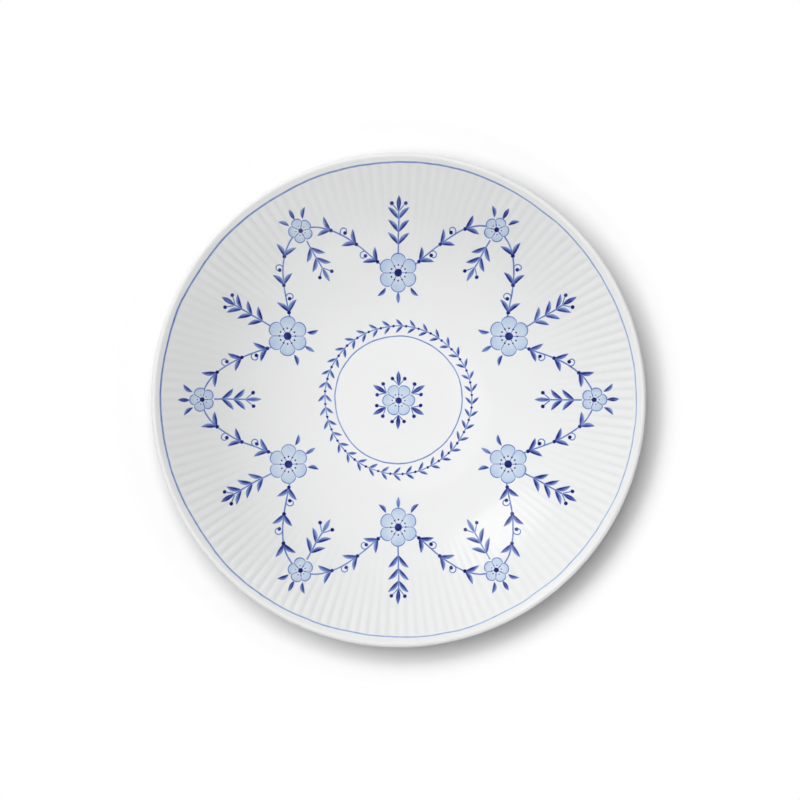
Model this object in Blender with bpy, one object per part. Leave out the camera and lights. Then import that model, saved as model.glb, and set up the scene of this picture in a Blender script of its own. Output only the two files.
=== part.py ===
"""Porcelain serving bowl: a fluted coupe bowl on a luted foot ring.

Run with: blender --background --python part.py
Lengths are in metres, +Z is up, and the origin is the centre of the standing face on the table.
"""

import math

import bmesh
import bpy

# Driving dimensions of the bowl
RIM_DIAMETER = 0.240
HEIGHT = 0.052
WALL_THICKNESS = 0.0042
LIP_THICKNESS = 0.0028
UNDERSIDE_CLEARANCE = 0.004
WELL_DIAMETER = 0.060

# Shape of the wall between the level well and the rim
RIM_SLOPE = math.radians(40)
FLOOR_REACH = 0.042
FLARE_REACH = 0.035

# Flutes pressed into the inside of the wall
FLUTE_COUNT = 148
FLUTE_DEPTH = 0.0006
FLUTE_FOOT_DIAMETER = 0.124
FLUTE_GROWTH = 1.6
FLUTE_ROUNDNESS = 0.6
RIM_BAND = 0.0072
FLUTE_RUN_OUT = 0.0032

# Foot ring, stuck under the bowl with slip
FOOT_DIAMETER = 0.118
STANDING_EDGE = 0.003
FOOT_FLARE = 0.0015
FOOT_CHAMFER = 0.0006
SLIP_JOINT = 0.0003

# Fineness of the facets
FLUTE_COLUMNS = 3
WELL_RINGS = 2
FLUTE_RINGS = 7
LIP_STEPS_INSIDE = 1
LIP_STEPS_OUTSIDE = 2
OUTSIDE_RINGS = 7
FOOT_COLUMNS = 96
FOOT_SEAT_STEPS = 3
BISECTIONS = 40

# Finishes
GLAZE_COLOUR = (0.82, 0.82, 0.82, 1.0)
GLAZE_ROUGHNESS = 0.1
BISCUIT_COLOUR = (0.74, 0.72, 0.68, 1.0)
BISCUIT_ROUGHNESS = 0.6
SMOOTH_ANGLE = math.radians(40)


# The inside of the wall is a Bezier curve, level at the well and at RIM_SLOPE where it meets the lip
LIP_RADIUS = LIP_THICKNESS / 2
WELL_TOP = UNDERSIDE_CLEARANCE + WALL_THICKNESS
WALL_END_RADIUS = RIM_DIAMETER / 2 - LIP_RADIUS * (1 + math.sin(RIM_SLOPE))
WALL_END_HEIGHT = HEIGHT - LIP_RADIUS * (1 - math.cos(RIM_SLOPE))
WALL_CURVE = (
    (WELL_DIAMETER / 2, WELL_TOP),
    (WELL_DIAMETER / 2 + FLOOR_REACH, WELL_TOP),
    (
        WALL_END_RADIUS - FLARE_REACH * math.cos(RIM_SLOPE),
        WALL_END_HEIGHT - FLARE_REACH * math.sin(RIM_SLOPE),
    ),
    (WALL_END_RADIUS, WALL_END_HEIGHT),
)


def curve_point(t):
    """Radius and height on the inside of the wall, from the well at t = 0 to the lip at t = 1."""
    weights = ((1 - t) ** 3, 3 * t * (1 - t) ** 2, 3 * t * t * (1 - t), t**3)
    radius = sum(w * p[0] for w, p in zip(weights, WALL_CURVE))
    height = sum(w * p[1] for w, p in zip(weights, WALL_CURVE))
    return radius, height


def curve_slope(t):
    """Angle of the wall above the level at t."""
    weights = ((1 - t) ** 2, 2 * t * (1 - t), t * t)
    legs = list(zip(WALL_CURVE, WALL_CURVE[1:]))
    run = sum(w * (b[0] - a[0]) for w, (a, b) in zip(weights, legs))
    rise = sum(w * (b[1] - a[1]) for w, (a, b) in zip(weights, legs))
    return math.atan2(rise, run)


def below_curve(t, depth):
    """Radius and height at a depth under the inside of the wall, square to it."""
    radius, height = curve_point(t)
    slope = curve_slope(t)
    return radius + depth * math.sin(slope), height - depth * math.cos(slope)


def underside(t, gap=0.0):
    """Radius and height on the outside of the wall, which thins towards the lip, or at a gap under it."""
    thickness = WALL_THICKNESS + (LIP_THICKNESS - WALL_THICKNESS) * t * t
    return below_curve(t, thickness + gap)


def curve_place(wanted_radius, line=curve_point, *details):
    """The t at which the inside of the wall, or another line along it, has a radius."""
    low, high = 0.0, 1.0
    for _ in range(BISECTIONS):
        middle = (low + high) / 2
        if line(middle, *details)[0] < wanted_radius:
            low = middle
        else:
            high = middle
    return (low + high) / 2


def flute_cut(phase):
    """Depth of a flute's section as a share: 1 in the groove at phase 0, near 0 over the broad crest."""
    return 1 - ((1 - math.cos(2 * math.pi * phase)) / 2) ** FLUTE_ROUNDNESS


def plain_ring(mesh, radius, height, columns):
    """A round loop of vertices."""
    turns = [2 * math.pi * i / columns for i in range(columns)]
    return [mesh.verts.new((radius * math.cos(a), radius * math.sin(a), height)) for a in turns]


def fluted_ring(mesh, t, depth):
    """A loop round the inside of the wall that dips into each groove."""
    columns = FLUTE_COUNT * FLUTE_COLUMNS
    loop = []
    for i in range(columns):
        turn = 2 * math.pi * i / columns
        radius, height = below_curve(t, depth * flute_cut(i / FLUTE_COLUMNS))
        loop.append(mesh.verts.new((radius * math.cos(turn), radius * math.sin(turn), height)))
    return loop


def join_loops(mesh, first, second):
    """Faces between two loops. Where one is finer, its extra vertices fan out from the coarser loop's."""
    if len(first) > len(second):
        first, second = second, first
        flip = True
    else:
        flip = False
    share = len(second) // len(first)
    for i, corner in enumerate(first):
        following = first[(i + 1) % len(first)]
        fine = [second[(i * share + k) % len(second)] for k in range(share + 1)]
        middle = share // 2
        faces = [[corner, fine[k + 1], fine[k]] for k in range(middle)]
        faces.append([corner, following, fine[middle + 1], fine[middle]])
        faces += [[following, fine[k + 1], fine[k]] for k in range(middle + 1, share)]
        for face in faces:
            mesh.faces.new(face[::-1] if flip else face)


def skin(mesh, loops):
    """Faces over a run of loops, from the middle of the well to the middle of the underside."""
    for first, second in zip(loops, loops[1:]):
        join_loops(mesh, first, second)


def material(name, colour, roughness):
    made = bpy.data.materials.new(name)
    made.use_nodes = True
    shader = made.node_tree.nodes["Principled BSDF"]
    shader.inputs["Base Color"].default_value = colour
    shader.inputs["Roughness"].default_value = roughness
    shader.inputs["Metallic"].default_value = 0.0
    return made


def finish_object(name, mesh, surface):
    """Turns a bmesh into a named, smooth-shaded object at the origin."""
    bmesh.ops.recalc_face_normals(mesh, faces=mesh.faces)
    data = bpy.data.meshes.new(name)
    mesh.to_mesh(data)
    mesh.free()
    data.materials.append(surface)
    data.shade_smooth()
    data.set_sharp_from_angle(angle=SMOOTH_ANGLE)
    made = bpy.data.objects.new(name, data)
    bpy.context.scene.collection.objects.link(made)
    return made


def fluted_wall_loops(mesh):
    """Loops over the fluted stretch. Flutes deepen from nothing at their foot up to the rim band."""
    foot_radius = FLUTE_FOOT_DIAMETER / 2
    reach = RIM_DIAMETER / 2 - RIM_BAND - foot_radius
    loops = []
    for i in range(FLUTE_RINGS):
        share = i / (FLUTE_RINGS - 1)
        t = curve_place(foot_radius + reach * share)
        loops.append(fluted_ring(mesh, t, FLUTE_DEPTH * share**FLUTE_GROWTH))
    return loops


def lip_loops(mesh):
    """Loops over the half-round lip, one of them at its top and one at its widest."""
    centre_radius, centre_height = below_curve(1.0, LIP_RADIUS)
    quarter = math.pi / 2
    inner_start = quarter + RIM_SLOPE
    outer_end = RIM_SLOPE - quarter
    inner_turn = quarter - inner_start
    angles = [inner_start + inner_turn * i / LIP_STEPS_INSIDE for i in range(LIP_STEPS_INSIDE)]
    angles += [quarter * (1 - i / LIP_STEPS_OUTSIDE) for i in range(LIP_STEPS_OUTSIDE)]
    angles += [0.0, outer_end]
    return [
        plain_ring(
            mesh,
            centre_radius + LIP_RADIUS * math.cos(a),
            centre_height + LIP_RADIUS * math.sin(a),
            FLUTE_COUNT,
        )
        for a in angles
    ]


def build_bowl(surface):
    """The bowl: level well, fluted wall, half-round lip and smooth outside, as one closed skin."""
    mesh = bmesh.new()
    flute_foot = curve_place(FLUTE_FOOT_DIAMETER / 2)
    loops = [
        plain_ring(mesh, *curve_point(flute_foot * i / WELL_RINGS), FLUTE_COUNT) for i in range(WELL_RINGS)
    ]
    mesh.faces.new(loops[0])
    loops += fluted_wall_loops(mesh)
    run_out = curve_place(RIM_DIAMETER / 2 - RIM_BAND + FLUTE_RUN_OUT)
    loops.append(plain_ring(mesh, *curve_point(run_out), FLUTE_COUNT))
    loops += lip_loops(mesh)
    for i in reversed(range(OUTSIDE_RINGS)):
        loops.append(plain_ring(mesh, *underside(i / OUTSIDE_RINGS), FLUTE_COUNT))
    mesh.faces.new(loops[-1])
    skin(mesh, loops)
    return finish_object("fluted_bowl", mesh, surface)


def foot_section():
    """Radius and height round the foot ring's section, from the inner edge of its seat."""
    outer = FOOT_DIAMETER / 2
    inner = outer - STANDING_EDGE
    seat_inner = curve_place(inner - FOOT_FLARE, underside, SLIP_JOINT)
    seat_outer = curve_place(outer + FOOT_FLARE, underside, SLIP_JOINT)
    seat = [
        underside(seat_inner + (seat_outer - seat_inner) * i / FOOT_SEAT_STEPS, SLIP_JOINT)
        for i in range(FOOT_SEAT_STEPS + 1)
    ]
    standing = [
        (outer, FOOT_CHAMFER),
        (outer - FOOT_CHAMFER, 0.0),
        (inner + FOOT_CHAMFER, 0.0),
        (inner, FOOT_CHAMFER),
    ]
    return seat + standing


def build_foot(surface):
    """The foot ring: its seat follows the bowl's underside, and its standing edge is level."""
    mesh = bmesh.new()
    loops = [plain_ring(mesh, radius, height, FOOT_COLUMNS) for radius, height in foot_section()]
    skin(mesh, loops + loops[:1])
    return finish_object("foot_ring", mesh, surface)


def main():
    for old in list(bpy.data.objects):
        bpy.data.objects.remove(old)
    build_bowl(material("glazed_porcelain", GLAZE_COLOUR, GLAZE_ROUGHNESS))
    build_foot(material("biscuit_porcelain", BISCUIT_COLOUR, BISCUIT_ROUGHNESS))


main()
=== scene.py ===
"""Looks of the porcelain serving bowl.

A finely fluted bowl on a foot ring, with cobalt painting under a clear glaze. A white floor, soft lamps
and a camera straight overhead make the studio.

Lengths are in metres. +X is to the right and +Y is up in the picture.
"""

import functools
import math

import bpy
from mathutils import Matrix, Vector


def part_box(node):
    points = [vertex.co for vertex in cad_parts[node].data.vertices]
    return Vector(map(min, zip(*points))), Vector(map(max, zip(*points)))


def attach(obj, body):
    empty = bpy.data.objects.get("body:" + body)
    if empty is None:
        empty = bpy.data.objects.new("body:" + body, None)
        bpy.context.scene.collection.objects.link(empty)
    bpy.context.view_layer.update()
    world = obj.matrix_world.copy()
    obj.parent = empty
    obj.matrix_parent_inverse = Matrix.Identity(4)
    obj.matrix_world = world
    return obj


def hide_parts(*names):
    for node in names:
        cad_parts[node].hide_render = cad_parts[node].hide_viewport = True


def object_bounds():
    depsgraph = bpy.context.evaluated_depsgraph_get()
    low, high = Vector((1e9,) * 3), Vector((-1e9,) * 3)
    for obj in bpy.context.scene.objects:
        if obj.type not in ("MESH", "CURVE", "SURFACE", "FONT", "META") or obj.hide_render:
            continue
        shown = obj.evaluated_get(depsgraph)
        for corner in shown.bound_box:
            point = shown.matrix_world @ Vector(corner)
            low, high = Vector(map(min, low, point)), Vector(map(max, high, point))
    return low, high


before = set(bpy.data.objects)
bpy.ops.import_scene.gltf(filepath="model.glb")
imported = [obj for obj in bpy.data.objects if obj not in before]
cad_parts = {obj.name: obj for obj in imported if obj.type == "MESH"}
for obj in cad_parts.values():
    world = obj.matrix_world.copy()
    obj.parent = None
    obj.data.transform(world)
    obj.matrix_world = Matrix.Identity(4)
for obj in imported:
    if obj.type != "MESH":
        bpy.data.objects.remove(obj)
cad_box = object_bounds()

# Sizes of the solids, taken from the frame
RIM_RADIUS = cad_box[1].x
HEIGHT = cad_box[1].z
UNDERSIDE_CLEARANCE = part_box("fluted_bowl")[0].z
FOOT_FLARE_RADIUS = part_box("foot_ring")[1].x

# Section of the bowl, as the solids have it
WALL_THICKNESS = 0.0042
LIP_THICKNESS = 0.0028
WELL_RADIUS = 0.030
RIM_SLOPE = math.radians(40)
FLOOR_REACH = 0.042
FLARE_REACH = 0.035
STANDING_EDGE = 0.003
FOOT_FLARE = 0.0015

# Foot ring as it is dressed: a rounded standing edge, and a seat sunk a little into the bowl
FOOT_ROUNDING = 0.0008
SEAT_SINK = 0.0002

# Fillet of glaze where the foot ring meets the bowl, with its two points as shares of its size
GLAZE_FILLET = 0.0009
FILLET_UPPER = (0.25, 0.35)
FILLET_LOWER = (-0.1, 1.3)

# Flutes pressed into the inside of the wall, a little shallower than the solids have them
FLUTE_COUNT = 148
FLUTE_DEPTH = 0.00048
FLUTE_FOOT_RADIUS = 0.062
FLUTE_GROWTH = 1.8
FLUTE_ROUNDNESS = 0.6
RIM_BAND = 0.0072
FLUTE_RUN_OUT = 0.0023

# Fineness of the turned meshes
COLUMNS_PER_FLUTE = 8
WELL_ROWS = 4
FLOOR_ROWS = 9
FLUTE_ROWS = 26
RUN_OUT_ROWS = 4
BAND_ROWS = 2
LIP_ROWS = 12
OUTSIDE_ROWS = 14
FOOT_COLUMNS = 360
FOOT_ARC_ROWS = 6
SEED_SIZE = 0.001
MERGE_DISTANCE = 1e-7
BISECTIONS = 40

# Cobalt painting: lines round the bowl. The brush presses harder on one side of the rim
RIM_LINE_RADIUS = 0.1152
RIM_LINE_WIDTH = 0.0007
RIM_LINE_PRESSURE = 0.22
RIM_LINE_HEAVY_SIDE = math.radians(140)
WELL_LINE_RADIUS = 0.0313
WELL_LINE_WIDTH = 0.0006

# Cobalt painting: garland of a waving vine, with angles in degrees from an outer crest of its wave
GARLAND_REPEATS = 6
VINE_RADIUS = 0.079
VINE_SWING = 0.0165
VINE_WIDTH = 0.0007
VINE_NUDGE = 1e-4
VINE_JOINTS = (8.5, 15, 21.5)
VINE_CURLS = ((11.3, 1), (17.8, -1))
JOINT_DOT = 0.0009
CREST_BLOSSOM = 0.0058
TROUGH_BLOSSOM = 0.0095
CREST_SPRAY = (0.086, 0.0805)
CREST_SPRAY_TIP = 0.0745
TROUGH_SPRAY = (0.0765, 0.0825, 0.0885)
TROUGH_SPRAY_TIP = 0.0925

# Cobalt painting: leaves, berries and curls. A leaf's swell is a quarter where it is fullest
LEAF_LENGTH = 0.0074
LEAF_WIDTH = 0.0021
LEAF_BEND = 0.0007
LEAF_SPLAY = 0.72
FULLEST_SWELL = 0.25
BUD_LENGTH = 0.0058
BUD_WIDTH = 0.0019
STALK_OFFSET = 0.0003
BERRY_STALK = 0.0046
BERRY_RADIUS = 0.0009
CURL_RADIUS = 0.0021
CURL_SWEEP = math.radians(300)
CURL_TIGHTENING = 0.55

# Cobalt painting: blossoms, in shares of their size
SMALL_PETALS = 5
LARGE_PETALS = 6
PETAL_NOTCH = 0.32
PETAL_ROUNDNESS = 0.5
HEART = 0.2
STAMEN = 0.05
STAMEN_RING = 0.4

# Cobalt painting: wreath and flower in the well
WREATH_RADIUS = 0.0362
WREATH_REPEATS = 36
WREATH_LEAF_LENGTH = 0.0046
WREATH_LEAF_WIDTH = 0.0014
WREATH_LEAF_BEND = 0.0003
WREATH_DOT = 0.0006
ROSETTE_SIZE = 0.0078
ROSETTE_LEAF_ROOT = 0.0072

# Cobalt painting: fine lines, and the strength of the ink, where 1 is the darkest blue
LINE_WIDTH = 0.00055
PARTING_WIDTH = 0.0004
LINE_INK = 0.6
RIM_LINE_INK = 0.45
WELL_LINE_INK = 0.54
VINE_INK = 0.58
WASH_INK = 0.16
WASH_HEART_INK = 0.056
STAMEN_INK = 0.9
LEAF_INK = 0.97
LEAF_FADE = 0.22
LEAF_PALE_HALF = 0.36
DOT_INK = 0.95

# Cobalt painting: bleeding edges, a trembling hand and the flow of the ink
BLEED = 0.0003
WOBBLE = 0.0022
WOBBLE_SCALE = 24
TREMOR = 0.0005
TREMOR_SCALE = 130
INK_FLOW = 0.7
INK_FLOW_SCALE = 260
BRUSH_LOAD = 0.4
BRUSH_LOAD_SCALE = 22
INK_COVER = 8

# Finishes, as linear colours
GLAZE_WHITE = (0.83, 0.83, 0.83, 1)
GLAZE_POOLED = (0.80, 0.805, 0.81, 1)
# Flute grooves darker: partly glaze pooled in them, partly painted shade in the recesses
GROOVE_POOL_AND_SHADE = (0.79, 0.793, 0.796, 1)
BISCUIT = (0.72, 0.70, 0.66, 1)
COBALT_STOPS = (
    (0.0, GLAZE_WHITE),
    (0.2, (0.50, 0.61, 0.77, 1)),
    (0.4, (0.28, 0.385, 0.645, 1)),
    (0.6, (0.125, 0.185, 0.48, 1)),
    (0.8, (0.043, 0.056, 0.28, 1)),
    (1.0, (0.012, 0.015, 0.12, 1)),
)

# Glaze: the share that is pooled, its gloss, and the faint unevenness of a fired surface
GLAZE_IOR = 1.52
GLAZE_ROUGHNESS = 0.07
CLOUD_ROUGHNESS = 0.06
CLOUD_POOLING = 0.25
CLOUD_SCALE = 30
RIPPLE_SCALE = 140
RIPPLE_STRENGTH = 0.25
RIPPLE_DEPTH = 0.00004

# Standing edge of the foot ring, wiped bare to a ragged line
WIPE_HEIGHT = 0.0011
WIPE_RAGGED = 0.0005
WIPE_SCALE = 300
WIPE_EDGE = 0.00025
FOOT_ROUGHNESS = 0.1
BISCUIT_ROUGHNESS = 0.6

# Picture
FRAME_PIXELS = 800
RIM_PIXELS = 494.8
RIM_CENTRE_PIXELS = (398.4, 399.9)
SENSOR = 36.0
CAMERA_DISTANCE = 4.0

# Studio: directions are an azimuth and a zenith angle in degrees
WHITE = (1, 1, 1, 1)
FLOOR_WHITE = (0.95, 0.95, 0.95, 1)
FLOOR_SIZE = 8.0
FLOOR_FADE_START = 0.127
FLOOR_FADE_END = 0.140
FLOOR_LIFT = 0.13
OVERHEAD_GREY = (0.05, 0.05, 0.05, 1)
AIR_STOPS = ((0.06, WHITE), (0.2, OVERHEAD_GREY))
AIR_LIGHT = 0.1
KEY_DIRECTION = (137, 8.5)
KEY_DISTANCE = 3.0
KEY_SIZE = 1.05
KEY_WATTS = 81
SIDE_DISTANCE = 2.2
WINDOW_DIRECTION = (127, 59)
WINDOW_SIZE = 1.1
WINDOW_WATTS = 5.3
LOW_DIRECTION = (127, 75)
LOW_SIZE = 1.1
LOW_WATTS = 9.8
FILL_DIRECTION = (-67, 71)
FILL_SIZE = 2.1
FILL_WATTS = 8.2

# The inside of the wall is a Bezier curve, level at the well and at RIM_SLOPE where it meets the lip
LIP_RADIUS = LIP_THICKNESS / 2
WELL_TOP = UNDERSIDE_CLEARANCE + WALL_THICKNESS
WALL_END_RADIUS = RIM_RADIUS - LIP_RADIUS * (1 + math.sin(RIM_SLOPE))
WALL_END_HEIGHT = HEIGHT - LIP_RADIUS * (1 - math.cos(RIM_SLOPE))
WALL_CURVE = (
    (WELL_RADIUS, WELL_TOP),
    (WELL_RADIUS + FLOOR_REACH, WELL_TOP),
    (
        WALL_END_RADIUS - FLARE_REACH * math.cos(RIM_SLOPE),
        WALL_END_HEIGHT - FLARE_REACH * math.sin(RIM_SLOPE),
    ),
    (WALL_END_RADIUS, WALL_END_HEIGHT),
)
FLUTE_HEAD_RADIUS = RIM_RADIUS - RIM_BAND
FLUTE_REACH = FLUTE_HEAD_RADIUS - FLUTE_FOOT_RADIUS


def below_curve(t, depth=0.0):
    """Radius and height under the inside of the wall, square to it, from the well at 0 to the lip at 1."""
    weights = ((1 - t) ** 3, 3 * t * (1 - t) ** 2, 3 * t * t * (1 - t), t**3)
    radius = sum(w * p[0] for w, p in zip(weights, WALL_CURVE))
    height = sum(w * p[1] for w, p in zip(weights, WALL_CURVE))
    bends = ((1 - t) ** 2, 2 * t * (1 - t), t * t)
    legs = list(zip(WALL_CURVE, WALL_CURVE[1:]))
    run = sum(w * (b[0] - a[0]) for w, (a, b) in zip(bends, legs))
    rise = sum(w * (b[1] - a[1]) for w, (a, b) in zip(bends, legs))
    slope = math.atan2(rise, run)
    return radius + depth * math.sin(slope), height - depth * math.cos(slope)


def underside(t, sink=0.0):
    """Radius and height on the outside of the wall, which thins towards the lip, or sunk into it."""
    thickness = WALL_THICKNESS + (LIP_THICKNESS - WALL_THICKNESS) * t * t
    return below_curve(t, thickness - sink)


def curve_place(wanted_radius, line=below_curve, *details):
    """The t at which the inside of the wall, or another line along it, has a radius."""
    low, high = 0.0, 1.0
    for _ in range(BISECTIONS):
        middle = (low + high) / 2
        if line(middle, *details)[0] < wanted_radius:
            low = middle
        else:
            high = middle
    return (low + high) / 2


def spread(start, end, count):
    """Evenly spaced numbers from start up to, but without, end."""
    return [start + (end - start) * i / count for i in range(count)]


def arc_points(centre, radius, start, end, count):
    """Points along an arc from one angle to another, both included."""
    angles = spread(start, end, count) + [end]
    return [(centre[0] + radius * math.cos(a), centre[1] + radius * math.sin(a)) for a in angles]


# Modelling


def draw_profile(name, points):
    """Extrudes a line through (radius, height) points, from a small plane merged to one vertex."""
    bpy.ops.object.select_all(action="DESELECT")
    bpy.ops.mesh.primitive_plane_add(size=SEED_SIZE, location=(points[0][0], 0, points[0][1]))
    piece = bpy.context.object
    piece.name = name
    piece.data.name = name
    bpy.ops.object.transform_apply(location=True)
    bpy.ops.object.mode_set(mode="EDIT")
    bpy.ops.mesh.select_all(action="SELECT")
    bpy.ops.mesh.merge(type="CENTER")
    for here, there in zip(points, points[1:]):
        step = (there[0] - here[0], 0, there[1] - here[1])
        bpy.ops.mesh.extrude_region_move(TRANSFORM_OT_translate={"value": step})
    bpy.ops.object.mode_set(mode="OBJECT")
    return piece


def turn_on_wheel(piece, columns):
    """Turns a drawn profile round +Z into a closed, smooth skin that faces out."""
    bpy.ops.object.modifier_add(type="SCREW")
    screw = piece.modifiers[-1]
    screw.axis = "Z"
    screw.steps = columns
    screw.render_steps = columns
    screw.use_merge_vertices = True
    screw.merge_threshold = MERGE_DISTANCE
    bpy.ops.object.modifier_apply(modifier=screw.name)
    bpy.ops.object.mode_set(mode="EDIT")
    bpy.ops.mesh.select_all(action="SELECT")
    bpy.ops.mesh.remove_doubles(threshold=MERGE_DISTANCE)
    bpy.ops.mesh.normals_make_consistent(inside=False)
    bpy.ops.object.mode_set(mode="OBJECT")
    bpy.ops.object.shade_smooth()


def bowl_profile():
    """Section of the bowl from the middle of the well, over the lip, to the middle of the underside."""
    quarter = math.pi / 2
    foot = curve_place(FLUTE_FOOT_RADIUS)
    head = curve_place(FLUTE_HEAD_RADIUS)
    run_out = curve_place(FLUTE_HEAD_RADIUS + FLUTE_RUN_OUT)
    points = [(radius, WELL_TOP) for radius in spread(0, WELL_RADIUS, WELL_ROWS)]
    inside = spread(0, foot, FLOOR_ROWS)
    inside += spread(foot, head, FLUTE_ROWS)
    inside += spread(head, run_out, RUN_OUT_ROWS)
    inside += spread(run_out, 1, BAND_ROWS)
    points += [below_curve(t) for t in inside]
    lip_centre = below_curve(1, LIP_RADIUS)
    points += arc_points(lip_centre, LIP_RADIUS, quarter + RIM_SLOPE, RIM_SLOPE - quarter, LIP_ROWS)
    points += [underside(t) for t in spread(1, 0, OUTSIDE_ROWS)[1:]]
    points += [(radius, UNDERSIDE_CLEARANCE) for radius in spread(WELL_RADIUS, 0, WELL_ROWS)]
    points.append((0, UNDERSIDE_CLEARANCE))
    return points


def flute_cut(place):
    """Depth of the flutes at a place on the inside, as a share of the deepest."""
    radius = math.hypot(place.x, place.y)
    grown = (radius - FLUTE_FOOT_RADIUS) / FLUTE_REACH
    if grown <= 0:
        return 0.0
    fading = 1 - max(0, radius - FLUTE_HEAD_RADIUS) / FLUTE_RUN_OUT
    turn = math.atan2(place.y, place.x) * FLUTE_COUNT
    crest = ((1 - math.cos(turn)) / 2) ** FLUTE_ROUNDNESS
    return min(grown, 1) ** FLUTE_GROWTH * max(fading, 0) * (1 - crest)


def press_flutes(bowl):
    """Sinks the flutes into the inside of the wall with a weighted Displace."""
    group = bowl.vertex_groups.new(name="flutes")
    for vertex in bowl.data.vertices:
        cut = flute_cut(vertex.co) if vertex.normal.z > 0 else 0
        if cut > 0:
            group.add([vertex.index], cut, "REPLACE")
    bpy.ops.object.modifier_add(type="DISPLACE")
    press = bowl.modifiers[-1]
    press.vertex_group = group.name
    press.direction = "NORMAL"
    press.mid_level = 0
    press.strength = -FLUTE_DEPTH
    bpy.ops.object.modifier_apply(modifier=press.name)
    bowl.vertex_groups.clear()


def make_bowl(painted, plain):
    bowl = draw_profile("bowl_body", bowl_profile())
    turn_on_wheel(bowl, FLUTE_COUNT * COLUMNS_PER_FLUTE)
    press_flutes(bowl)
    bowl.data.materials.append(painted)
    bowl.data.materials.append(plain)
    for face in bowl.data.polygons:
        inside = face.normal.z > 0 and math.hypot(face.center.x, face.center.y) < WALL_END_RADIUS
        face.material_index = 0 if inside else 1
    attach(bowl, "root")
    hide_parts("fluted_bowl")
    return bowl


def fillet_points(corner, side):
    """Two points that ease the bowl's underside into the side of the foot ring."""
    return [
        (corner[0] + side * GLAZE_FILLET * out, corner[1] - GLAZE_FILLET * down)
        for out, down in (FILLET_UPPER, FILLET_LOWER)
    ]


def foot_profile():
    """Section of the foot ring: rounded standing edge, flared sides and a fillet of glaze at the joint."""
    quarter = math.pi / 2
    outer = FOOT_FLARE_RADIUS - FOOT_FLARE
    inner = outer - STANDING_EDGE
    outer_top = underside(curve_place(FOOT_FLARE_RADIUS, underside))
    inner_top = underside(curve_place(inner - FOOT_FLARE, underside))
    outer_seat = curve_place(FOOT_FLARE_RADIUS + GLAZE_FILLET, underside, SEAT_SINK)
    inner_seat = curve_place(inner - FOOT_FLARE - GLAZE_FILLET, underside, SEAT_SINK)
    outer_round = (outer - FOOT_ROUNDING, FOOT_ROUNDING)
    inner_round = (inner + FOOT_ROUNDING, FOOT_ROUNDING)
    points = [underside(outer_seat, SEAT_SINK)]
    points += fillet_points(outer_top, 1)
    points += arc_points(outer_round, FOOT_ROUNDING, 0, -quarter, FOOT_ARC_ROWS)
    points += arc_points(inner_round, FOOT_ROUNDING, -quarter, -math.pi, FOOT_ARC_ROWS)
    points += reversed(fillet_points(inner_top, -1))
    points.append(underside(inner_seat, SEAT_SINK))
    points.append(points[0])
    return points


def make_foot(finish):
    foot = draw_profile("foot_ring_body", foot_profile())
    turn_on_wheel(foot, FOOT_COLUMNS)
    foot.data.materials.append(finish)
    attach(foot, "root")
    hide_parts("foot_ring")
    return foot


# Finishes


class Value:
    """A number that varies over a surface. Arithmetic on it adds Math nodes to its finish."""

    def __init__(self, finish, socket):
        self.finish = finish
        self.socket = socket

    def maths(self, operation, *others, clamp=False):
        return self.finish.maths(operation, self, *others, clamp=clamp)

    def __add__(self, other):
        return self.maths("ADD", other)

    def __sub__(self, other):
        return self.maths("SUBTRACT", other)

    def __rsub__(self, other):
        return self.finish.maths("SUBTRACT", other, self)

    def __mul__(self, other):
        return self.maths("MULTIPLY", other)

    def __truediv__(self, other):
        return self.maths("DIVIDE", other)

    def __pow__(self, other):
        return self.maths("POWER", other)

    def __abs__(self):
        return self.maths("ABSOLUTE")

    __radd__ = __add__
    __rmul__ = __mul__

    def soft_step(self, width):
        """Rises from 0 to 1 over a width, and is half way up where the value is zero."""
        return self.maths("MULTIPLY_ADD", 1 / width, 1 / 2, clamp=True)


class Nodes:
    """A tree of shader nodes."""

    # Places of a Mix node's colours among its sockets, whose names repeat
    FIRST_COLOUR = 6
    SECOND_COLOUR = 7
    MIXED_COLOUR = 2

    def __init__(self, tree):
        self.tree = tree

    def node(self, kind, settings=None, inputs=None):
        """Adds a node of a kind, with its settings first and then the values or links of its sockets."""
        made = self.tree.nodes.new(kind)
        for key, setting in (settings or {}).items():
            if key == "stops":
                self.set_stops(made.color_ramp, setting)
            else:
                setattr(made, key, setting)
        for key, given in (inputs or {}).items():
            self.feed(made.inputs[key], given)
        return made

    def feed(self, socket, given):
        if isinstance(given, Value):
            given = given.socket
        if isinstance(given, bpy.types.NodeSocket):
            self.tree.links.new(given, socket)
        else:
            socket.default_value = given

    def set_stops(self, ramp, stops):
        while len(ramp.elements) < len(stops):
            ramp.elements.new(1.0)
        for element, (position, colour) in zip(ramp.elements, stops):
            element.position = position
            element.color = colour

    def maths(self, operation, *operands, clamp=False):
        settings = {"operation": operation, "use_clamp": clamp}
        return Value(self, self.node("ShaderNodeMath", settings, dict(enumerate(operands))).outputs[0])

    def place(self, kind="Object"):
        """A point, in the object's own frame unless said otherwise, and its x, y and z."""
        point = self.node("ShaderNodeTexCoord").outputs[kind]
        split = self.node("ShaderNodeSeparateXYZ", inputs={"Vector": point})
        return point, [Value(self, out) for out in split.outputs]

    def noise(self, point, scale):
        """Three independent noises between about 0 and 1."""
        made = self.node("ShaderNodeTexNoise", inputs={"Vector": point, "Scale": scale})
        split = self.node("ShaderNodeSeparateColor", inputs={"Color": made.outputs["Color"]})
        return [Value(self, out) for out in split.outputs]

    def mix(self, share, first, second):
        inputs = {"Factor": share, self.FIRST_COLOUR: first, self.SECOND_COLOUR: second}
        made = self.node("ShaderNodeMix", {"data_type": "RGBA"}, inputs)
        return made.outputs[self.MIXED_COLOUR]


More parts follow.
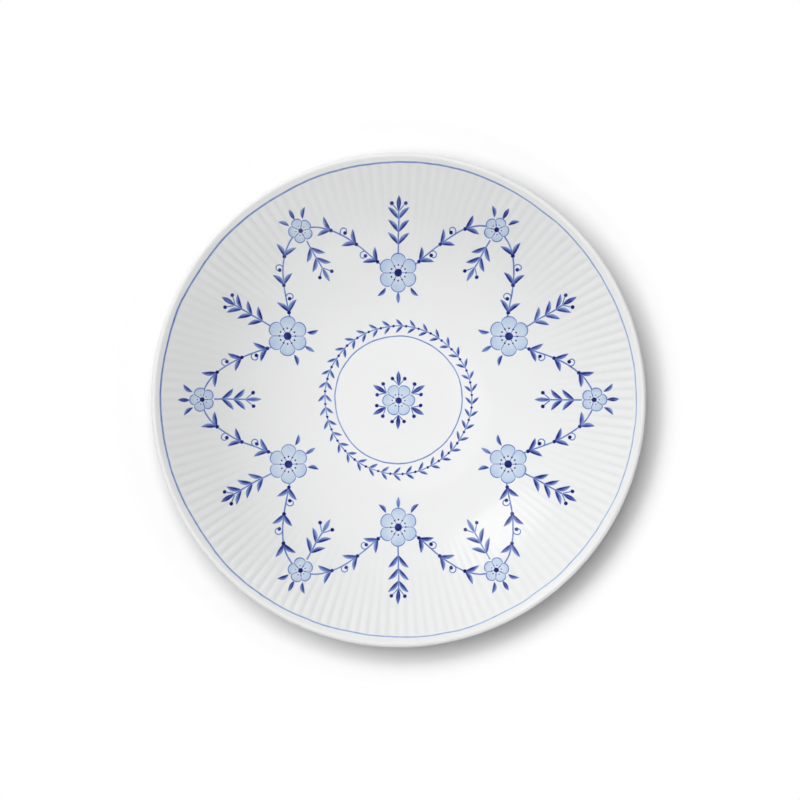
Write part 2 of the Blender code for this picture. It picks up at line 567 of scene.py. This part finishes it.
class Finish(Nodes):
    """A material, with the nodes that feed its shader."""

    def __init__(self, name):
        self.material = bpy.data.materials.new(name)
        self.material.use_nodes = True
        super().__init__(self.material.node_tree)
        self.shader = self.tree.nodes["Principled BSDF"]

    def set(self, **inputs):
        for key, given in inputs.items():
            self.feed(self.shader.inputs[key.replace("_", " ")], given)


def brush(inside):
    """Paint where a distance inside an edge is above zero, with an edge that bleeds a little."""
    return inside.soft_step(BLEED)


def leaf(spot, root, heading, length=LEAF_LENGTH, width=LEAF_WIDTH, bend=0.0):
    """An almond stroke from its root along a heading, bent to one side, with one half and the tip paler."""
    x, y = spot
    run = math.cos(heading)
    rise = math.sin(heading)
    start = root[0] * run + root[1] * rise
    aside = root[1] * run - root[0] * rise
    along = x.maths("MULTIPLY_ADD", run / length, y.maths("MULTIPLY_ADD", rise / length, -start / length))
    across = y.maths("MULTIPLY_ADD", run, x.maths("MULTIPLY_ADD", -rise, -aside))
    swell = along * (1 - along)
    if bend:
        across = swell.maths("MULTIPLY_ADD", bend / FULLEST_SWELL, across)
    pale = across.soft_step(math.copysign(width / 2, -bend))
    tone = pale.maths("MULTIPLY_ADD", -LEAF_PALE_HALF, along.maths("MULTIPLY_ADD", -LEAF_FADE, LEAF_INK))
    return brush(swell * (width / 2 / FULLEST_SWELL) - abs(across)) * tone


def dot(spot, centre, radius, ink=DOT_INK):
    """A round touch of the brush."""
    away = (spot[0] - centre[0]) ** 2 + (spot[1] - centre[1]) ** 2
    return brush(radius - away.maths("SQRT")) * ink


def stem(spot, start, end):
    """A straight stroke along the spot's own x axis."""
    x, y = spot
    ends = (x - start).maths("MINIMUM", end - x)
    return brush(ends.maths("MINIMUM", VINE_WIDTH / 2 - abs(y))) * VINE_INK


def stepped(root, heading, length):
    """The place at a length along a heading."""
    return root[0] + length * math.cos(heading), root[1] + length * math.sin(heading)


def berry(spot, root, heading):
    """A dot on a thin stalk."""
    x, y = spot
    run = math.cos(heading)
    rise = math.sin(heading)
    along = (x - root[0]) * run + (y - root[1]) * rise
    across = (y - root[1]) * run - (x - root[0]) * rise
    ends = along.maths("MINIMUM", BERRY_STALK - along)
    stalk = brush(ends.maths("MINIMUM", LINE_WIDTH / 2 - abs(across))) * VINE_INK
    return stalk.maths("MAXIMUM", dot(spot, stepped(root, heading, BERRY_STALK), BERRY_RADIUS))


def curl(spot, root, heading, side):
    """A tendril that leaves a stem along its heading and winds in on one side, with a dot at its tip."""
    quarter = math.pi / 2
    centre = stepped(root, heading + side * quarter, CURL_RADIUS)
    x = spot[0] - centre[0]
    y = spot[1] - centre[1]
    start = heading - side * quarter
    turned = ((y.maths("ARCTAN2", x) - start) * side).maths("WRAP", 2 * math.pi, 0)
    winding = turned.maths("MULTIPLY_ADD", -CURL_RADIUS * CURL_TIGHTENING / CURL_SWEEP, CURL_RADIUS)
    line = LINE_WIDTH / 2 - abs((x**2 + y**2).maths("SQRT") - winding)
    stroke = brush(line.maths("MINIMUM", (CURL_SWEEP - turned) * CURL_RADIUS)) * VINE_INK
    tip = stepped(centre, start + side * CURL_SWEEP, CURL_RADIUS * (1 - CURL_TIGHTENING))
    return stroke.maths("MAXIMUM", dot(spot, tip, JOINT_DOT))


def blossom(spot, centre, size, petals):
    """An outlined flower with washed petals, a dark heart and stamens. Also gives what it covers."""
    x = spot[0] - centre[0]
    y = spot[1] - centre[1]
    away = (x**2 + y**2).maths("SQRT")
    turn = y.maths("ARCTAN2", x)
    lobe = abs((turn * (petals / 2)).maths("COSINE"))
    edge = (lobe**PETAL_ROUNDNESS).maths("MULTIPLY_ADD", PETAL_NOTCH * size, (1 - PETAL_NOTCH) * size)
    inside = edge - away
    covered = brush(inside)
    wash = covered * (away / size).maths("MULTIPLY_ADD", WASH_INK, WASH_HEART_INK)
    outline = brush(LINE_WIDTH / 2 - abs(inside)) * LINE_INK
    parting = brush(PARTING_WIDTH / 2 - lobe * away * (2 / petals)) * covered * LINE_INK
    heart = brush(size * HEART - away) * DOT_INK
    stamens = (turn * (petals * 2)).maths("COSINE") * (size * STAMEN) - abs(away - size * STAMEN_RING)
    marks = [wash, outline, parting, heart, brush(stamens) * STAMEN_INK]
    return functools.reduce(lambda a, b: a.maths("MAXIMUM", b), marks), covered


def vine_point(angle):
    """A place on the garland's vine, at an angle from an outer crest of its wave."""
    radius = VINE_RADIUS + VINE_SWING * math.cos(GARLAND_REPEATS * angle)
    return radius * math.cos(angle), radius * math.sin(angle)


def vine_at(degrees):
    """A place on the vine, and the vine's direction there towards the crest."""
    angle = math.radians(degrees)
    here = vine_point(angle)
    ahead = vine_point(angle - VINE_NUDGE)
    return here, math.atan2(ahead[1] - here[1], ahead[0] - here[0])


class Painting:
    """Strokes laid over each other: the darkest one shows."""

    def __init__(self):
        self.ink = None

    def add(self, *strokes):
        for stroke in strokes:
            self.ink = stroke if self.ink is None else self.ink.maths("MAXIMUM", stroke)


def folded(radius, turn, repeats, phase=0.0):
    """Repeats a sector round the bowl. Gives the angle in the sector, and a mirrored x and y in it."""
    half = math.pi / repeats
    angle = (turn - phase).maths("WRAP", half, -half)
    return angle, (radius * angle.maths("COSINE"), abs(radius * angle.maths("SINE")))


def paint_garland(painting, radius, turn):
    """A waving vine with leaf pairs and curls, small blossoms at its crests and large ones between."""
    crest_angle, crest = folded(radius, turn, GARLAND_REPEATS)
    _, trough = folded(radius, turn, GARLAND_REPEATS, math.pi / GARLAND_REPEATS)
    outer = VINE_RADIUS + VINE_SWING
    inner = VINE_RADIUS - VINE_SWING
    small, small_cover = blossom(crest, (outer, 0), CREST_BLOSSOM, SMALL_PETALS)
    large, large_cover = blossom(trough, (inner, 0), TROUGH_BLOSSOM, LARGE_PETALS)
    wave = crest_angle * GARLAND_REPEATS
    middle = wave.maths("COSINE").maths("MULTIPLY_ADD", VINE_SWING, VINE_RADIUS)
    slope = wave.maths("SINE") * (VINE_SWING * GARLAND_REPEATS) / radius
    distance = (radius - middle) / (slope**2 + 1).maths("SQRT")
    vine = brush(VINE_WIDTH / 2 - abs(distance)) * VINE_INK
    painting.add(vine * (1 - small_cover.maths("MAXIMUM", large_cover)))
    painting.add(small, large)

    for degrees in VINE_JOINTS:
        root, heading = vine_at(degrees)
        painting.add(dot(crest, root, JOINT_DOT))
        for side in (-1, 1):
            painting.add(leaf(crest, root, heading + side * LEAF_SPLAY, bend=side * LEAF_BEND))
    for degrees, side in VINE_CURLS:
        painting.add(curl(crest, *vine_at(degrees), side))

    inward = math.pi
    painting.add(stem(crest, CREST_SPRAY_TIP, outer - CREST_BLOSSOM))
    for reach in CREST_SPRAY:
        painting.add(leaf(crest, (reach, STALK_OFFSET), inward - LEAF_SPLAY, bend=-LEAF_BEND))
    painting.add(leaf(crest, (CREST_SPRAY_TIP, 0), inward))
    painting.add(berry(crest, (CREST_SPRAY_TIP, STALK_OFFSET), inward - LEAF_SPLAY))
    paint_buds(painting, crest, outer, CREST_BLOSSOM, 1)

    painting.add(stem(trough, inner + TROUGH_BLOSSOM, TROUGH_SPRAY_TIP))
    for reach in TROUGH_SPRAY:
        painting.add(leaf(trough, (reach, STALK_OFFSET), LEAF_SPLAY, bend=LEAF_BEND))
    painting.add(leaf(trough, (TROUGH_SPRAY_TIP, 0), 0))
    painting.add(berry(trough, (TROUGH_SPRAY_TIP, STALK_OFFSET), LEAF_SPLAY))
    paint_buds(painting, trough, inner, TROUGH_BLOSSOM, -1)


def paint_buds(painting, sector, radius, size, side):
    """Three small leaves behind a blossom, on its outer or its inner side."""
    ahead = 0 if side > 0 else math.pi
    splayed = ahead + side * LEAF_SPLAY
    painting.add(leaf(sector, (radius + side * size, 0), ahead, BUD_LENGTH, BUD_WIDTH))
    beside = stepped((radius, 0), splayed, size)
    painting.add(leaf(sector, beside, splayed, BUD_LENGTH, BUD_WIDTH, side * LEAF_BEND))


def paint_wreath(painting, radius, turn):
    """A ring of leaf pairs round the well, on one fine line."""
    angle, _ = folded(radius, turn, WREATH_REPEATS)
    cell = (angle * radius, radius - WREATH_RADIUS)
    painting.add(brush(LINE_WIDTH / 2 - abs(cell[1])) * VINE_INK)
    for side in (-1, 1):
        root = (-WREATH_LEAF_LENGTH / 2, side * STALK_OFFSET)
        heading = side * LEAF_SPLAY
        bend = side * WREATH_LEAF_BEND
        painting.add(leaf(cell, root, heading, WREATH_LEAF_LENGTH, WREATH_LEAF_WIDTH, bend))
    painting.add(dot(cell, (WREATH_LEAF_LENGTH / 2, 0), WREATH_DOT))


def paint_rosette(painting, radius, turn, spot):
    """A six-petalled flower in the middle of the well, with leaves and berries between its petals."""
    flower, _ = blossom(spot, (0, 0), ROSETTE_SIZE, LARGE_PETALS)
    painting.add(flower)
    _, sector = folded(radius, turn, LARGE_PETALS, math.pi / LARGE_PETALS)
    root = (ROSETTE_LEAF_ROOT, 0)
    painting.add(leaf(sector, root, 0))
    painting.add(berry(sector, root, LEAF_SPLAY))


def painted_ink(finish, point, x, y):
    """Strength of the cobalt everywhere on the inside of the bowl."""
    for reach, scale in ((WOBBLE, WOBBLE_SCALE), (TREMOR, TREMOR_SCALE)):
        shake = finish.noise(point, scale)
        x = shake[0].maths("MULTIPLY_ADD", reach, x - reach / 2)
        y = shake[1].maths("MULTIPLY_ADD", reach, y - reach / 2)
    radius = (x**2 + y**2).maths("SQRT")
    turn = y.maths("ARCTAN2", x)
    painting = Painting()
    pressure = (turn - RIM_LINE_HEAVY_SIDE).maths("COSINE").maths("MULTIPLY_ADD", RIM_LINE_PRESSURE, 1)
    rim_line = brush(pressure * (RIM_LINE_WIDTH / 2) - abs(radius - RIM_LINE_RADIUS))
    painting.add(rim_line * pressure * RIM_LINE_INK)
    painting.add(brush(WELL_LINE_WIDTH / 2 - abs(radius - WELL_LINE_RADIUS)) * WELL_LINE_INK)
    paint_garland(painting, radius, turn)
    paint_wreath(painting, radius, turn)
    paint_rosette(painting, radius, turn, (x, y))
    flow = finish.noise(point, INK_FLOW_SCALE)[2].maths("MULTIPLY_ADD", INK_FLOW, 1 - INK_FLOW / 2)
    load = finish.noise(point, BRUSH_LOAD_SCALE)[0].maths("MULTIPLY_ADD", BRUSH_LOAD, 1 - BRUSH_LOAD / 2)
    return painting.ink.maths("MULTIPLY", flow * load, clamp=True)


def glaze(name):
    """Clear gloss glaze over white porcelain, with the faint unevenness of a fired surface."""
    finish = Finish(name)
    point, (x, y, _) = finish.place()
    cloud = finish.noise(point, CLOUD_SCALE)[0]
    finish.set(Roughness=cloud.maths("MULTIPLY_ADD", CLOUD_ROUGHNESS, GLAZE_ROUGHNESS))
    ripple = finish.noise(point, RIPPLE_SCALE)[1]
    bump = finish.node(
        "ShaderNodeBump",
        inputs={"Strength": RIPPLE_STRENGTH, "Distance": RIPPLE_DEPTH, "Height": ripple},
    )
    finish.set(Normal=bump.outputs["Normal"], IOR=GLAZE_IOR)
    white = finish.mix(cloud * CLOUD_POOLING, GLAZE_WHITE, GLAZE_POOLED)
    return finish, point, x, y, white


def painted_glaze():
    finish, point, x, y, white = glaze("painted_porcelain")
    radius = (x**2 + y**2).maths("SQRT")
    grown = (radius - FLUTE_FOOT_RADIUS).maths("DIVIDE", FLUTE_REACH, clamp=True)
    fading = (FLUTE_HEAD_RADIUS + FLUTE_RUN_OUT - radius).maths("DIVIDE", FLUTE_RUN_OUT, clamp=True)
    # Painted shade in the flute grooves, together with the glaze that pools there
    groove_pool_and_shade = (y.maths("ARCTAN2", x) * FLUTE_COUNT).maths("COSINE").maths("MULTIPLY_ADD", 1 / 2, 1 / 2)
    white = finish.mix(grown**FLUTE_GROWTH * fading * groove_pool_and_shade, white, GROOVE_POOL_AND_SHADE)
    ink = painted_ink(finish, point, x, y)
    cobalt = finish.node("ShaderNodeValToRGB", {"stops": COBALT_STOPS}, {"Fac": ink})
    covered = ink.maths("MULTIPLY", INK_COVER, clamp=True)
    finish.set(Base_Color=finish.mix(covered, white, cobalt.outputs["Color"]))
    return finish.material


def plain_glaze():
    finish, _, _, _, white = glaze("plain_porcelain")
    finish.set(Base_Color=white)
    return finish.material


def foot_glaze():
    """Glaze that was wiped off the standing edge before firing, so that bare biscuit shows there."""
    finish = Finish("foot_porcelain")
    point, (_, _, z) = finish.place()
    ragged = finish.noise(point, WIPE_SCALE)[0].maths("MULTIPLY_ADD", WIPE_RAGGED, WIPE_HEIGHT)
    bare = (ragged - z).soft_step(WIPE_EDGE)
    finish.set(
        Base_Color=finish.mix(bare, GLAZE_WHITE, BISCUIT),
        Roughness=bare.maths("MULTIPLY_ADD", BISCUIT_ROUGHNESS - FOOT_ROUGHNESS, FOOT_ROUGHNESS),
    )
    return finish.material


# Studio


def seen_rays(nodes):
    """1 where the camera sees a surface, also in a reflection, and 0 where it only lights other things."""
    rays = nodes.node("ShaderNodeLightPath").outputs
    seen = Value(nodes, rays["Is Camera Ray"])
    for kind in ("Is Glossy Ray", "Is Transmission Ray"):
        seen = seen.maths("MAXIMUM", rays[kind])
    return seen


def make_floor():
    """A white floor that keeps the bowl's shadow and fades to plain white around it."""
    bpy.ops.object.select_all(action="DESELECT")
    bpy.ops.mesh.primitive_plane_add(size=FLOOR_SIZE, location=(0, 0, 0))
    floor = bpy.context.object
    floor.name = "studio_floor"
    finish = Finish("white_floor")
    _, (x, y, _) = finish.place()
    away = (x**2 + y**2).maths("SQRT")
    fade = (away - FLOOR_FADE_START).maths("DIVIDE", FLOOR_FADE_END - FLOOR_FADE_START, clamp=True)
    lifted = fade.maths("MAXIMUM", FLOOR_LIFT)
    lit = finish.node("ShaderNodeBsdfDiffuse", inputs={"Color": FLOOR_WHITE})
    glow = finish.node("ShaderNodeEmission", inputs={"Color": WHITE})
    layers = {"Fac": lifted * seen_rays(finish), 1: lit.outputs["BSDF"], 2: glow.outputs["Emission"]}
    mixed = finish.node("ShaderNodeMixShader", inputs=layers)
    finish.tree.nodes.remove(finish.shader)
    finish.feed(finish.tree.nodes["Material Output"].inputs["Surface"], mixed.outputs[0])
    floor.data.materials.append(finish.material)


def lamp_group(name, *lit):
    """The only things that some lamps light."""
    group = bpy.data.collections.new(name)
    for thing in lit:
        group.objects.link(thing)
    return group


def softbox(name, direction, distance, size, watts, lights=None, in_gloss=False):
    """A round soft lamp that points at the bowl from a direction: an azimuth from +X and a zenith angle."""
    azimuth, zenith = (math.radians(degrees) for degrees in direction)
    flat = distance * math.sin(zenith)
    place = (flat * math.cos(azimuth), flat * math.sin(azimuth), distance * math.cos(zenith))
    bpy.ops.object.select_all(action="DESELECT")
    bpy.ops.object.light_add(type="AREA", location=place, rotation=(0, zenith, azimuth))
    lamp = bpy.context.object
    lamp.name = name
    lamp.data.shape = "DISK"
    lamp.data.size = size
    lamp.data.energy = watts
    lamp.visible_glossy = in_gloss
    if lights:
        lamp.light_linking.receiver_collection = lights


def light_studio(bowl, foot):
    """A soft key overhead casts the shadow. The side lamps model the bowl and leave the floor alone."""
    on_bowl = lamp_group("lit_bowl", bowl, foot)
    softbox("key_light", KEY_DIRECTION, KEY_DISTANCE, KEY_SIZE, KEY_WATTS)
    softbox(
        "window_light", WINDOW_DIRECTION, SIDE_DISTANCE, WINDOW_SIZE, WINDOW_WATTS, on_bowl, in_gloss=True
    )
    softbox("low_light", LOW_DIRECTION, SIDE_DISTANCE, LOW_SIZE, LOW_WATTS, on_bowl)
    softbox("fill_light", FILL_DIRECTION, SIDE_DISTANCE, FILL_SIZE, FILL_WATTS, on_bowl, in_gloss=True)


def fill_air():
    """Surroundings that show white at the horizon and dim overhead, and light the bowl only a little."""
    world = bpy.data.worlds.new("studio_air")
    bpy.context.scene.world = world
    world.use_nodes = True
    air = Nodes(world.node_tree)
    _, (_, _, height) = air.place("Generated")
    shade = air.node("ShaderNodeValToRGB", {"stops": AIR_STOPS}, {"Fac": height})
    background = air.tree.nodes["Background"]
    air.feed(background.inputs["Color"], shade.outputs["Color"])
    air.feed(background.inputs["Strength"], seen_rays(air).maths("MULTIPLY_ADD", 1 - AIR_LIGHT, AIR_LIGHT))


def place_camera():
    """Looks straight down, at a distance where the rim fills its share of the picture."""
    metres_per_pixel = 2 * RIM_RADIUS / RIM_PIXELS
    widest = below_curve(1, LIP_RADIUS)[1]
    place = (
        (FRAME_PIXELS / 2 - RIM_CENTRE_PIXELS[0]) * metres_per_pixel,
        (RIM_CENTRE_PIXELS[1] - FRAME_PIXELS / 2) * metres_per_pixel,
        widest + CAMERA_DISTANCE,
    )
    bpy.ops.object.camera_add(location=place, rotation=(0, 0, 0))
    camera = bpy.context.object
    camera.data.sensor_width = SENSOR
    camera.data.lens = SENSOR * CAMERA_DISTANCE / (FRAME_PIXELS * metres_per_pixel)
    bpy.context.scene.camera = camera


place_camera()
bowl = make_bowl(painted_glaze(), plain_glaze())
foot = make_foot(foot_glaze())
make_floor()
light_studio(bowl, foot)
fill_air()
bpy.context.scene.view_settings.view_transform = "Standard"
